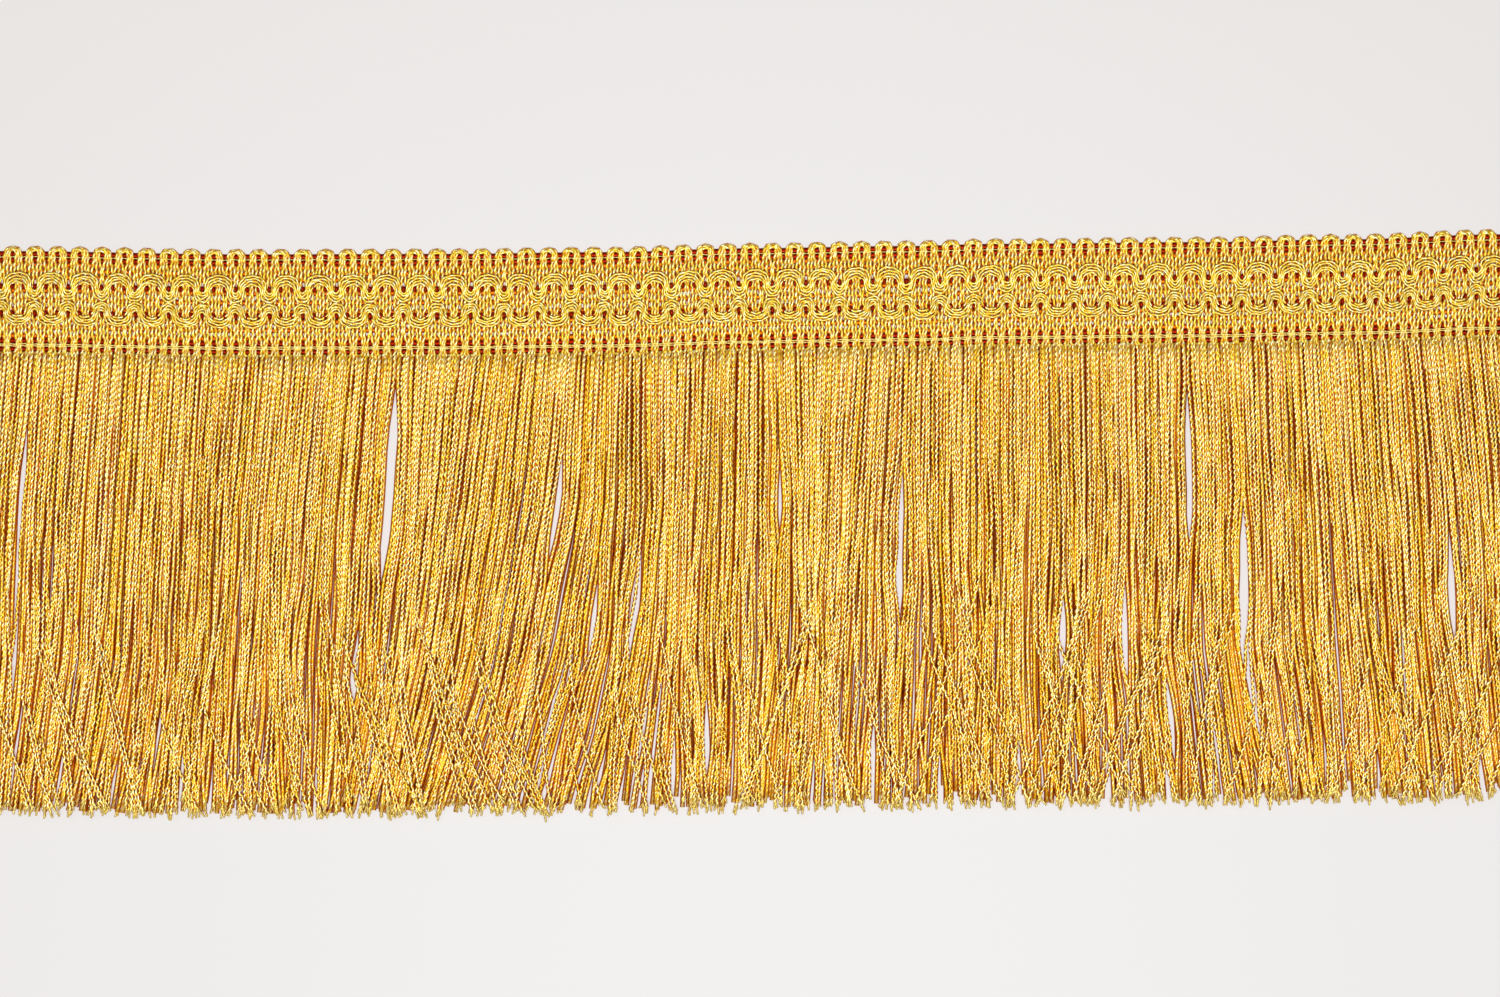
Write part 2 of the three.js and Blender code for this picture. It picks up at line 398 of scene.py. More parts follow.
def gold_yarn(name, roughness, metallic, groove_shade_strength, side_shade_strength, relief):
    """A gold satin yarn.

    metallic is its share of tinted mirror light. The strengths say how far its grooves and
    its sides are darkened with painted shade, and relief how deep its grooves look, in
    metres. Each range above says where a colour starts to show and where it is full.
    """
    paint = Paint(name)
    winding = (paint.attribute("around") + paint.attribute("turns")) * (4 * math.pi)
    groove = 0.5 - winding.math("COSINE") * 0.5
    place = paint.add("ShaderNodeTexCoord", {}, {}, "Object")
    flecks = noise(paint, place, FLECK_STRETCH, FLECK_SCALE)
    fibres = noise(paint, place, FIBRE_STRETCH, FIBRE_SCALE)
    tone = paint.attribute("tone") * TONE_WEIGHT
    body = paint.mix((flecks + tone).within(*GOLD_RANGE), DULL_GOLD, GOLD)
    # Painted highlight: pale gold on the crests, where the flecks are brightest
    crest = (1 - groove).within(*HIGHLIGHT_CREST_RANGE)
    body = paint.mix(crest * (flecks + tone).within(*HIGHLIGHT_RANGE), body, HIGHLIGHT_GOLD)
    # Painted shade: rusty red in the grooves between plies and down the sides of the yarn
    groove_shade = groove.within(*GROOVE_SHADE_RANGE) * groove_shade_strength
    side_shade = paint.attribute("side").within(*SIDE_SHADE_RANGE) * side_shade_strength
    painted_shade = groove_shade.math("MAXIMUM", side_shade)
    body = paint.mix(painted_shade, body, GOLD_IN_SHADE)
    # Painted shade for yarns that lie under others: rusty red, then dark red for the deepest
    deep = paint.attribute("deep")
    body = paint.mix(deep.within(*DEEP_SHADE_RANGE), body, GOLD_IN_SHADE)
    body = paint.mix(deep.within(*DEEPEST_SHADE_RANGE), body, GOLD_IN_DEEP_SHADE)
    body = paint.mix(paint.attribute("frayed"), body, FRAYED)
    height = fibres * FIBRE_RELIEF - groove
    bump_inputs = {"Height": height, "Distance": relief, "Strength": 1.0}
    bump = paint.add("ShaderNodeBump", {}, bump_inputs, "Normal")
    shader = paint.add("ShaderNodeBsdfPrincipled", {}, {
        "Base Color": body,
        "Roughness": roughness,
        "Metallic": painted_shade * DARK_METALLIC + metallic,
        "Specular IOR Level": YARN_SPECULAR,
        "Specular Tint": SPARK_TINT,
        "Normal": bump,
    })
    return paint.finish(shader)


YARN_KINDS = (
    # name, roughness, metallic, strength of painted shade in the groove and on the side, relief
    ("cord_gold", 0.38, 0.42, 0.40, 1.0, 0.00007),
    ("heading_gold", 0.42, 0.42, 0.55, 1.0, 0.00006),
    ("gimp_gold", 0.42, 0.30, 0.5, 1.0, 0.00004),
    ("thread_gold", 0.42, 0.15, 0.45, 0.0, 0.00003),
)
cord_gold, heading_gold, gimp_gold, thread_gold = (gold_yarn(*kind) for kind in YARN_KINDS)
print(len(YARN_KINDS), "gold yarns")

# %% [markdown]
# ## One tool for every yarn
#
# A two-ply yarn is two round strands wound round each other. Its section is like a figure
# eight that turns as it goes along. Modelling both plies would cost twice the faces, so the
# section here has four corners, two far out on the plies and two close in where they meet.
# Turned between a fifth and a quarter of a turn at each ring, and shaded smooth, it reads
# as twisted yarn at the size it is seen.
#
# The tool takes many yarns at once, as one array of paths, and makes one mesh of them. It
# also lays each yarn out as a strip on the mesh's UV map.

# %% Yarn tool
SIDES = 4
STRIP_FILL = 0.94
SIDE_SHADE_START = 0.95

triangle_counts = []


def yarn_faces(yarns, rings):
    """The corners of all wall triangles and of all end caps, as point numbers."""
    yarn = np.arange(yarns)[:, None, None] * rings * SIDES
    ring = np.arange(rings - 1)[None, :, None] * SIDES
    here = np.arange(SIDES)[None, None, :]
    after = (here + 1) % SIDES
    a, b = yarn + ring + here, yarn + ring + after
    c, d = b + SIDES, a + SIDES
    walls = np.stack([a, c, b, a, d, c], axis=-1).reshape(-1, 3)
    first = yarn[:, 0, :] + np.arange(SIDES)
    last = yarn[:, 0, :] + (rings - 1) * SIDES + np.arange(SIDES)[::-1]
    caps = np.concatenate([first, last])
    return walls, caps


def wall_corners(corner, rings):
    """Lists the corners of all walls of a yarn, given a corner's value by side and ring step."""
    side = np.arange(SIDES)[None, None, :]
    ring = np.arange(rings - 1)[None, :, None]
    a, b = corner(side, ring), corner(side + 1, ring)
    c, d = corner(side + 1, ring + 1), corner(side, ring + 1)
    return np.stack([a, c, b, a, d, c], axis=3)


def yarn_strips(yarns, rings):
    """The UV corners that go with yarn_faces: one upright strip for each yarn."""
    number = np.arange(yarns)[:, None, None]
    margin = (1 - STRIP_FILL) / 2

    def corner(side, ring):
        u = (number + margin + STRIP_FILL * side / SIDES) / yarns
        v = margin + STRIP_FILL * ring / (rings - 1)
        return np.stack(np.broadcast_arrays(u, v), axis=-1)

    walls = wall_corners(corner, rings).reshape(-1, 2)
    first = corner(np.arange(SIDES)[None, None, :], 0).reshape(-1, 2)
    last = corner(np.arange(SIDES)[None, None, ::-1], rings - 1).reshape(-1, 2)
    return np.concatenate([walls, first, last])


def for_each_ring(value, yarns, rings):
    """A value for each ring of each yarn, from one number, one per yarn or one per ring."""
    value = np.asarray(value, float)
    if value.ndim == 1:
        value = value[:, None]
    return np.broadcast_to(value, (yarns, rings))


def add_numbers(mesh, label, domain, values):
    """Stores a number on each point or face corner of a mesh."""
    layer = mesh.attributes.new(label, "FLOAT", domain)
    layer.data.foreach_set("value", np.ascontiguousarray(values, np.float32).ravel())


def make_yarns(name, paths, crest, valley, winding, material, tone, deep=0.0, frayed=0.0):
    """One mesh of many twisted yarns.

    paths is yarns by rings by xyz, in millimetres. crest and valley are the section's long and
    short radii. winding is the angle of the twist at each ring. A yarn with valley None has a
    plain section of radius crest, and its twist is only painted, with painted shade in its
    grooves. tone colours it at random, deep darkens it with painted shade, and frayed makes it
    paler. The sides of every yarn also get painted shade.
    """
    yarns, rings = paths.shape[:2]
    painted = valley is None
    tangent = np.gradient(paths, axis=1)
    tangent /= np.linalg.norm(tangent, axis=2, keepdims=True)
    side = np.cross(tangent, (0.0, 0.0, 1.0))
    side /= np.linalg.norm(side, axis=2, keepdims=True)
    upward = np.cross(side, tangent)
    corner = np.arange(SIDES)
    winding = for_each_ring(winding, yarns, rings)[:, :, None]
    angle = winding * (not painted) + corner * 2 * math.pi / SIDES
    long_radius = for_each_ring(crest, yarns, rings)[:, :, None]
    short_radius = long_radius if painted else for_each_ring(valley, yarns, rings)[:, :, None]
    radius = np.where(corner % 2 == 0, long_radius, short_radius)
    across = (radius * np.cos(angle))[..., None] * side[:, :, None, :]
    above = (radius * np.sin(angle))[..., None] * upward[:, :, None, :]
    points = (paths[:, :, None, :] + across + above).reshape(-1, 3) * MM

    walls, caps = yarn_faces(yarns, rings)
    mesh = bpy.data.meshes.new(name)
    mesh.vertices.add(len(points))
    mesh.vertices.foreach_set("co", points.ravel())
    corners = np.concatenate([walls.ravel(), caps.ravel()])
    mesh.loops.add(len(corners))
    mesh.loops.foreach_set("vertex_index", corners)
    wall_starts = np.arange(len(walls)) * 3
    cap_starts = walls.size + np.arange(len(caps)) * SIDES
    starts = np.concatenate([wall_starts, cap_starts])
    mesh.polygons.add(len(starts))
    mesh.polygons.foreach_set("loop_start", starts)
    mesh.polygons.foreach_set("use_smooth", np.arange(len(starts)) < len(walls))
    mesh.update(calc_edges=True)
    strips = mesh.uv_layers.new(name="OFBake")
    strips.data.foreach_set("uv", yarn_strips(yarns, rings).ravel())

    # Painted shade down the sides of each yarn: 0 on top, rising to 1 at the side and underneath
    side_shade_share = np.clip(1 - radius * np.sin(angle) / (SIDE_SHADE_START * long_radius), 0, 1)
    turns = -winding / (2 * math.pi) * painted
    numbers = {"side": side_shade_share, "turns": turns, "tone": tone, "deep": deep, "frayed": frayed}
    for label, value in numbers.items():
        if np.ndim(value) < 3:
            value = for_each_ring(value, yarns, rings)[:, :, None]
        add_numbers(mesh, label, "POINT", np.broadcast_to(value, (yarns, rings, SIDES)))
    wall_share = wall_corners(lambda side, ring: (side + 0 * ring) / SIDES, rings)
    wall_share = np.broadcast_to(wall_share, (yarns, *wall_share.shape[1:])).ravel()
    add_numbers(mesh, "around", "CORNER", np.concatenate([wall_share, np.zeros(caps.size)]))

    mesh.materials.append(material)
    piece = bpy.data.objects.new(name, mesh)
    bpy.context.scene.collection.objects.link(piece)
    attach(piece, "root")
    triangles = len(walls) + 2 * len(caps)
    triangle_counts.append(triangles)
    print(f"{name}: {yarns} yarns, {triangles} triangles")
    return piece


# %% [markdown]
# ## The looped heading
#
# On the machine the weft is one bundle of yarns. Here it is a row of hairpins, each three
# yarns nested inside each other: up one leg, round the scallop, and down the next leg. The
# chain stitches squeeze the bundle wherever a row of them crosses it, so the legs are drawn
# in there and spread between, and are darkened there with a little painted shade. A formula
# for the squeeze keeps that in one place.

# %% Rows of chain stitch
EDGE_ROWS = (7.9, 6.85)
GIMP_ROWS = (2.1, -2.7)
FOOT_ROWS = (-7.6, -8.35, -9.1)
CHAIN_ROWS = (*EDGE_ROWS, *GIMP_ROWS, *FOOT_ROWS)
SQUEEZE_REACH = 0.70


def squeeze(y):
    """1 where a row of chain stitch grips the legs, falling to 0 between rows."""
    return np.max([np.exp(-(((y - row) / SQUEEZE_REACH) ** 2)) for row in CHAIN_ROWS], axis=0)


# %% Looped weft
HAIRPIN_YARNS = 3
LEG_HALF = 0.72
LEG_UNEVEN = 0.05
SQUEEZED_HALF = 0.36
LOOP_FOOT_Y = 7.85
LOOP_TOPS = (8.66, 8.88, 9.08)
LOOP_LIFT = (0.30, 0.10, -0.08)
WEFT_Z = 0.55
WEFT_CREST = 0.38
WEFT_VALLEY = 0.29
WEFT_LAY = 2.6
LEG_RINGS = 37
FOOT_RISE = 0.2
ARCH_RINGS = 9
ARCH_ROUNDNESS = 0.8
ARCH_OFFSETS = (-0.33, 0.04, 0.46)
LEG_PAST_FOOT = 0.6
LEG_WOBBLE = 0.07
WOBBLE_MARKS = 12
LIFT_REACH = 0.8
SQUEEZE_SINK = 0.10
SQUEEZE_SHADE = 0.10
MIDDLE_RISE = 0.06
WEFT_TONE = (-0.5, 0.5)
SOFTENINGS = 2

weft_random = np.random.default_rng(11)


def hairpin(middle, nest):
    """One yarn of a hairpin about a loop's middle. Nest 0 is the inmost of the three."""
    offset = nest - 1
    leg_y = np.linspace(FOOT_Y - LEG_PAST_FOOT, LOOP_FOOT_Y, LEG_RINGS)
    mark_y = np.linspace(FOOT_Y - LEG_PAST_FOOT, LOOP_FOOT_Y, WOBBLE_MARKS)
    wobble = np.interp(leg_y, mark_y, weft_random.normal(0, LEG_WOBBLE, WOBBLE_MARKS))
    leg_half = LEG_HALF + weft_random.normal(0, LEG_UNEVEN)
    spread = leg_half + (SQUEEZED_HALF - leg_half) * squeeze(leg_y)
    leg_x = LEG_PITCH / 2 + offset * spread + wobble
    into_arch = np.clip((leg_y - EDGE_ROWS[1]) / (LOOP_FOOT_Y - EDGE_ROWS[1]), 0, 1)
    leg_x = leg_x + (ARCH_OFFSETS[nest] - offset * SQUEEZED_HALF) * into_arch
    turn = np.linspace(0, math.pi, ARCH_RINGS + 2)[1:-1]
    arch_half = LEG_PITCH / 2 + ARCH_OFFSETS[nest]
    arch_x = arch_half * np.sign(np.cos(turn)) * np.abs(np.cos(turn)) ** ARCH_ROUNDNESS
    arch_y = LOOP_FOOT_Y + (LOOP_TOPS[nest] - LOOP_FOOT_Y) * np.sin(turn) ** ARCH_ROUNDNESS
    x = np.concatenate([leg_x, arch_x, -leg_x[::-1]])
    y = np.concatenate([leg_y, arch_y, leg_y[::-1]])
    lift = LOOP_LIFT[nest] * np.clip((y - LOOP_FOOT_Y) / LIFT_REACH, 0, 1)
    lift = lift + FOOT_RISE * np.clip((FOOT_ROWS[0] - y) / (FOOT_ROWS[0] - FOOT_Y), 0, 1)
    z = WEFT_Z - SQUEEZE_SINK * squeeze(y) + lift + MIDDLE_RISE * (nest == 1)
    return np.stack([middle + x, y + sway(middle + x), z], axis=-1)


def smooth_paths(paths, times):
    """Softens corners in each path, keeping its ends."""
    for _ in range(times):
        paths[:, 1:-1] = paths[:, 1:-1] * 0.5 + (paths[:, :-2] + paths[:, 2:]) * 0.25
    return paths


def travelled(paths):
    """How far along each path each of its rings is."""
    steps = np.linalg.norm(np.diff(paths, axis=1), axis=2)
    return np.concatenate([np.zeros((len(paths), 1)), np.cumsum(steps, axis=1)], axis=1)


loop_middles = heading_low[0] + LEG_PITCH + 2 * LEG_PITCH * np.arange(LEGS // 2)
weft_paths = np.array([
    hairpin(middle, nest) for middle in loop_middles for nest in range(HAIRPIN_YARNS)
])
weft_paths = smooth_paths(weft_paths, SOFTENINGS)
weft_count = len(weft_paths)
weft_turn = -2 * math.pi * travelled(weft_paths) / WEFT_LAY
weft_turn = weft_turn + weft_random.uniform(0, math.pi, (weft_count, 1))
# Painted shade where the chain rows squeeze the legs together
weft_shade = SQUEEZE_SHADE * squeeze(weft_paths[:, :, 1] - sway(weft_paths[:, :, 0]))
weft_loops = make_yarns(
    "weft_loops", weft_paths, WEFT_CREST, WEFT_VALLEY, weft_turn, heading_gold,
    tone=weft_random.uniform(*WEFT_TONE, weft_count), deep=weft_shade,
)
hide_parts("heading")

# %% [markdown]
# ## Chain stitches
#
# Fine threads run along the trim and bite into the legs, and that is what holds the legs
# flat. Seen from above they are nearly lost on a leg and show as short pale bars across the
# dark gaps, where they thin out. A second thread behind each row closes the gaps, as the
# back of a real chain does, and is coloured the dark red of painted shade. Backing threads,
# in the rusty red of painted shade, lie between the rows, and leave a few slits open where
# the sheet shows.

# %% Chain threads
CHAIN_LINES = (
    # place across the heading, height on a leg, height in a gap, thickness
    (7.38, 0.70, 0.72, 0.20),
    (-8.22, 0.76, 0.80, 0.26),
    (-8.54, 0.78, 0.80, 0.26),
)
CHAIN_SWELL = 0.62
CHAIN_FLATNESS = 0.7
CHAIN_LAY = 1.3
CHAIN_WEAVE = 0.04
CHAIN_INSET = 0.2
CHAIN_TONE = (0.5, 1.5)
CHAIN_FRAYED = 0.75
RINGS_PER_LEG = 4
BACKING_ROWS = (6.0, 4.9, 3.8, 1.4, -0.3, -2.0, -3.7, -5.2, -6.7)
BACK_LINES = (*CHAIN_ROWS, *BACKING_ROWS)
BACK_HALF_WIDTH = 0.52
BACK_HALF_THICK = 0.18
BACK_Z = 0.26
BACKING_SHADE = 0.42
BACK_INSET = 0.4
BACK_RINGS_PER_LEG = 2

chain_random = np.random.default_rng(23)
chain_ends = (heading_low[0] + CHAIN_INSET, heading_high[0] - CHAIN_INSET)
chain_x = np.linspace(*chain_ends, LEGS * RINGS_PER_LEG)
on_leg = 0.5 + 0.5 * np.cos(2 * math.pi * (chain_x - first_leg_x) / LEG_PITCH)


def chain_line(y, leg_z, gap_z):
    """One thread along the trim at a place y, at one height on the legs and one in the gaps."""
    z = gap_z + (leg_z - gap_z) * on_leg
    weave = chain_random.normal(0, CHAIN_WEAVE, len(chain_x))
    return np.stack([chain_x, y + weave + sway(chain_x), z], axis=-1)


chain_paths = np.array([chain_line(*line[:3]) for line in CHAIN_LINES])
chain_winding = -2 * math.pi * travelled(chain_paths) / CHAIN_LAY
chain_crest = np.array([[line[3]] for line in CHAIN_LINES]) * (1 - CHAIN_SWELL * (1 - on_leg))
chain_threads = make_yarns(
    "chain_threads", chain_paths, chain_crest, chain_crest * CHAIN_FLATNESS, chain_winding,
    thread_gold, tone=chain_random.uniform(*CHAIN_TONE, len(CHAIN_LINES)), frayed=CHAIN_FRAYED,
)
back_ends = (heading_low[0] + BACK_INSET, heading_high[0] - BACK_INSET)
back_x = np.linspace(*back_ends, LEGS * BACK_RINGS_PER_LEG)
chain_back_paths = np.array([
    np.stack([back_x, y + sway(back_x), np.full_like(back_x, BACK_Z)], axis=-1) for y in BACK_LINES
])
# Painted shade: dark red behind the chain rows, rusty red behind the backing rows
back_shade = np.where(np.isin(BACK_LINES, CHAIN_ROWS), 1.0, BACKING_SHADE)
chain_backs_in_shade = make_yarns(
    "chain_backs_in_shade", chain_back_paths, BACK_HALF_WIDTH, BACK_HALF_THICK, 0.0, heading_gold,
    tone=0.0, deep=back_shade,
)

# %% [markdown]
# ## The two gimps
#
# A gimp here is four yarns laid side by side, led along the trim in waves while the chain
# stitches catch it. Side by side yarns that turn a corner nest like lanes of a running
# track, so each one is made of half ellipses: wide over one turn, narrow under the next.

# %% Gimp waves
WAVE_PITCH = 3 * LEG_PITCH
GIMP_YARNS = 4
GIMP_CREST = 0.27
GIMP_VALLEY = 0.21
GIMP_LAY = 3.0
HALF_TURN_RINGS = 10
GIMP_Z = 1.46
GIMP_SQUEEZE = 0.58
GIMP_PILE = 0.18
PILED_LANES = (1, 2)
GIMP_WAVER = 0.10
GIMP_ROLL = 0.10
GIMP_INSET = 0.6
GIMP_TONE = (-0.2, 0.5)
GIMPS = {
    # row, half opening under a crest and over a trough, reach up and down, band, first crest
    "gimp_upper": (GIMP_ROWS[0], 1.28, 0.4, 2.75, 2.6, 2.0, 0.0),
    "gimp_lower": (GIMP_ROWS[1], 0.4, 1.28, 2.4, 2.3, 1.8, 0.5),
}

gimp_random = np.random.default_rng(37)


def gimp_lane(gimp, lane):
    """One yarn of a gimp, wave after wave. Lane 0 is the inmost at a crest."""
    row, crest_half, trough_half, up, down, band, first = gimp
    lane_width = (WAVE_PITCH / 2 - crest_half - trough_half) / GIMP_YARNS
    reach = crest_half + (lane + 0.5) * lane_width
    top = up - (GIMP_YARNS - 0.5 - lane) * band / GIMP_YARNS
    bottom = -down + (lane + 0.5) * band / GIMP_YARNS
    middle = (top + bottom) / 2
    angle = np.linspace(0, math.pi, HALF_TURN_RINGS, endpoint=False)
    crest_x, crest_y = -reach * np.cos(angle), middle + (top - middle) * np.sin(angle)
    narrow = WAVE_PITCH / 2 - reach
    trough_x = WAVE_PITCH / 2 - narrow * np.cos(angle)
    trough_y = middle - (middle - bottom) * np.sin(angle)
    wave_x, wave_y = np.concatenate([crest_x, trough_x]), np.concatenate([crest_y, trough_y])
    waves = round(CUT_LENGTH / WAVE_PITCH) + 1
    start = first_leg_x + (first - 1) * WAVE_PITCH + WAVE_PITCH * np.arange(waves + 1)[:, None]
    x = (start + wave_x).ravel()
    y = np.tile(wave_y, waves + 1)
    inside = (x > heading_low[0] + GIMP_INSET) & (x < heading_high[0] - GIMP_INSET)
    x, y = x[inside], y[inside]
    grip = np.exp(-((y / SQUEEZE_REACH) ** 2))
    leg = np.round((x - first_leg_x) / LEG_PITCH) * LEG_PITCH + first_leg_x
    x = x + (leg - x) * GIMP_SQUEEZE * grip
    z = GIMP_Z + GIMP_ROLL * np.cos(math.pi * np.arange(len(x)) / HALF_TURN_RINGS)
    z = z + GIMP_PILE * grip * (lane in PILED_LANES)
    return np.stack([x, y + row + sway(x), z], axis=-1)


for node, gimp in GIMPS.items():
    lanes = [gimp_lane(gimp, lane) for lane in range(GIMP_YARNS)]
    shared = min(len(lane) for lane in lanes)
    lane_paths = np.array([lane[:shared] for lane in lanes])
    lane_paths[:, :, :2] += gimp_random.normal(0, GIMP_WAVER, (GIMP_YARNS, shared, 2))
    lane_paths = smooth_paths(lane_paths, SOFTENINGS)
    lane_turn = -2 * math.pi * travelled(lane_paths) / GIMP_LAY
    piece = make_yarns(
        node + "_yarns", lane_paths, GIMP_CREST, GIMP_VALLEY, lane_turn, gimp_gold,
        tone=gimp_random.uniform(*GIMP_TONE, GIMP_YARNS),
    )
    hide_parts(node)

# %% [markdown]
# ## The stitches of the gimps
#
# Two of the chain rows hold the gimps, and pull tight between the legs. What shows of them
# is a row of small dark marks, one for each gap, that push the gimp's yarns apart. Each is a
# short thread across the row, thick in its middle, coloured the dark red of painted shade
# for the shaded hole where the stitch pulls in.

# %% Stitch marks
STITCH_LENGTH = 1.0
STITCH_RINGS = 6
STITCH_HALF_WIDTH = 0.27
STITCH_HALF_THICK = 0.20
STITCH_END = 0.35
STITCH_Z = 1.66

from_middle = np.linspace(-1, 1, STITCH_RINGS)
fullness = STITCH_END + (1 - STITCH_END) * np.sqrt(1 - from_middle ** 2)[None, :]
gap_x = first_leg_x + LEG_PITCH * (np.arange(LEGS - 1) + 0.5)
stitch_rows = np.array(GIMP_ROWS)[:, None, None] + sway(gap_x)[None, :, None]
stitch_y = stitch_rows + from_middle * STITCH_LENGTH / 2
stitch_x = np.broadcast_to(gap_x[None, :, None], stitch_y.shape)
stitch_paths = np.stack([stitch_x, stitch_y, np.full_like(stitch_y, STITCH_Z)], axis=-1)
stitch_paths = stitch_paths.reshape(-1, STITCH_RINGS, 3)
# Painted shade: dark red threads where the shaded holes of the stitches are
stitch_shade_marks = make_yarns(
    "stitch_shade_marks", stitch_paths, STITCH_HALF_WIDTH * fullness, STITCH_HALF_THICK * fullness,
    0.0, heading_gold, tone=0.0, deep=1.0,
)

# %% [markdown]
# ## The skirt of cords
#
# Each leg of the weft hangs out below the heading as about seven cut cords, so the skirt
# has a thousand of them, in three layers. They start in line with the legs, drawn together
# by the last chain row, and then relax until they lie evenly. Further down they follow the
# table of the lie, part where locks part, gather in tufts, and cross a little near the
# tips. Each of these is one term added to a cord's sideways place.

# %% Fields that all cords follow
LOCK_WAVES = ((7.3, 0.20), (11.7, 0.32), (5.1, 0.10))
TUFT_WAVES = ((3.1, 0.34), (4.3, 0.30), (2.3, 0.16))
PARTING_REACH = 4.5
PARTING_PUSH = 0.28
OPENING_SHARE = 0.12
CLOSING_SHARE = 0.10

skirt_random = np.random.default_rng(5)


def ripples(waves):
    """A sideways pull along the trim from a few sine waves with random starts."""
    starts = skirt_random.uniform(0, 2 * math.pi, (len(waves), 2))

    def pull(along, share):
        total = 0.0
        for (length, strength), (start, drift) in zip(waves, starts):
            lag = start + 2 * np.sin(drift + 3 * share)
            total = total + strength * np.sin(2 * math.pi * along / length + lag)
        return total

    return pull


lock_pull = ripples(LOCK_WAVES)
tuft_pull = ripples(TUFT_WAVES)


def parting_push(along, share):
    """How far open partings push the cords beside them."""
    push = 0.0
    for place, opens, closes, strength in PARTINGS:
        start = np.clip((share - opens) / OPENING_SHARE, 0, 1)
        stop = np.clip((closes - share) / CLOSING_SHARE, 0, 1)
        away = along - place
        near = np.clip(1 - np.abs(away) / PARTING_REACH, 0, 1)
        push = push + np.sign(away) * strength * PARTING_PUSH * start * stop * near
    return push


# %% Cords' own wandering
def smooth_between(marks, places):
    """Reads rows of marks at fractional places, on a smooth curve between marks."""
    step = np.clip(places.astype(int), 0, marks.shape[1] - 2)
    part = places - step
    part = part * part * (3 - 2 * part)
    return marks[:, step] * (1 - part) + marks[:, step + 1] * part


def wander(cords, rings, knots, first, last):
    """A smooth random walk aside for each cord, growing from first to last along it."""
    marks = skirt_random.normal(0, 1, (cords, knots))
    walk = smooth_between(marks, np.linspace(0, knots - 1, rings))
    return walk * np.linspace(first, last, rings)


def shared_wander(cords, rings, knots, neighbours, last):
    """A wander that neighbouring cords share, so that they lean together."""
    leaders = cords // neighbours + 2
    walks = wander(leaders, rings, knots, 0.0, last)
    return smooth_between(walks.T, np.linspace(0, leaders - 1.001, cords)).T


# %% Where a cord lies
CORD_TOP_Y = FOOT_Y - 0.2
CORD_CREST = 0.385
CORD_VALLEY = 0.20
DRAWN_REACH = 0.035
START_DROP = 0.8
SETTLE_REACH = 0.15
LOWEST_CORD = 0.44
LEAN_POWER = 2.2
LOCK_POWER = 1.5
TUFT_POWER = 1.5
TUFT_SHARE = 0.20
# marks along a cord, and how many neighbours share one walk
SHARED_WALK = (6, 5)
# marks along a cord, and how far it wanders at its top and at its tip
SLOW_WANDER = (7, 0.04, 0.28)
QUICK_WANDER = (17, 0.04, 0.14)
HEIGHT_WANDER = (9, 0.05, 0.10)


def cord_paths(along, rings, height, drawn, lean, shared, loose, shortest):
    """Paths of cords that hang at these places along the heading.

    height is one height above the table for each cord. drawn is how far the heading draws it
    to its leg. lean and shared are how far it strays by itself and with its neighbours at
    the tips, loose is how much it wanders on the way, and shortest spreads the lengths.
    """
    cords = len(along)
    share = np.linspace(0, 1, rings)[None, :]
    along = along[:, None]
    length = CORD_LENGTH - np.abs(skirt_random.normal(0, shortest, (cords, 1)))
    leg = np.round((along - first_leg_x) / LEG_PITCH) * LEG_PITCH + first_leg_x
    x = along + (leg - along) * drawn * np.exp(-share / DRAWN_REACH)
    x = x + sideways_run(along, share) + parting_push(along, share)
    x = x + lock_pull(along, share) * share ** LOCK_POWER
    near_tip = np.clip((share - (1 - TUFT_SHARE)) / TUFT_SHARE, 0, 1)
    x = x + tuft_pull(along, share) * near_tip ** TUFT_POWER
    x = x + shared_wander(cords, rings, *SHARED_WALK, shared)
    x = x + skirt_random.normal(0, lean, (cords, 1)) * share ** LEAN_POWER
    slow = wander(cords, rings, *SLOW_WANDER)
    x = x + loose * (slow + wander(cords, rings, *QUICK_WANDER))
    y = CORD_TOP_Y + sway(along) - length * share
    settle = 1 - START_DROP * np.exp(-share / SETTLE_REACH)
    rise = height[:, None] - WEFT_Z + wander(cords, rings, *HEIGHT_WANDER)
    z = WEFT_Z + rise * settle
    return np.stack([x, y, np.maximum(z, LOWEST_CORD)], axis=-1)


# %% Cords on top
CORD_LAY = 2.12
TWIST_KNOTS = 25
TWIST_SLACK = 0.55
TOP_CORDS = 370
RINGS_PER_TURN = 4.5
TOP_PIECES = 3
TOP_JITTER = 0.10
TOP_HEIGHT = (1.35, 0.14)
TOP_HEIGHT_LIMITS = (1.1, 1.65)

top_rings = round(CORD_LENGTH / CORD_LAY * RINGS_PER_TURN)
top_share = np.linspace(0, 1, top_rings)


def hang_along(cords, jitter):
    """Places along the heading for an even row of cords, each a little out of step."""
    pitch = CUT_LENGTH / cords
    shift = skirt_random.uniform(-jitter, jitter, cords) * pitch
    return heading_low[0] + (np.arange(cords) + 0.5) * pitch + shift


top_along = hang_along(TOP_CORDS, TOP_JITTER)
top_height = skirt_random.normal(*TOP_HEIGHT, TOP_CORDS).clip(*TOP_HEIGHT_LIMITS)
top_paths = cord_paths(
    top_along, top_rings, top_height, drawn=0.30, lean=1.8, shared=0.6, loose=1.0, shortest=1.2
)

# %% [markdown]
# ## Strays
#
# In its lower half every third cord, alone or with its neighbour, leaves the row and slants
# over the others. It leans against the way they go, and that is what makes the lower edge
# of the skirt look tangled rather than combed.

# %% Strays
FIRST_STRAY = 4
STRAY_EVERY = 3
MOST_TOGETHER = 2
STRAY_AGAINST = 0.9
STRAY_SLOPE = 0.19
STRAY_APART = 0.03
STEEPEST_STRAY = 0.40
STRAY_HEIGHT = 0.65
STRAY_CLIMB = 4
STRAY_CURVE = 1.15
STRAY_LIGHT = 1.5
STRAY_LEAVES = (0.50, 0.86)

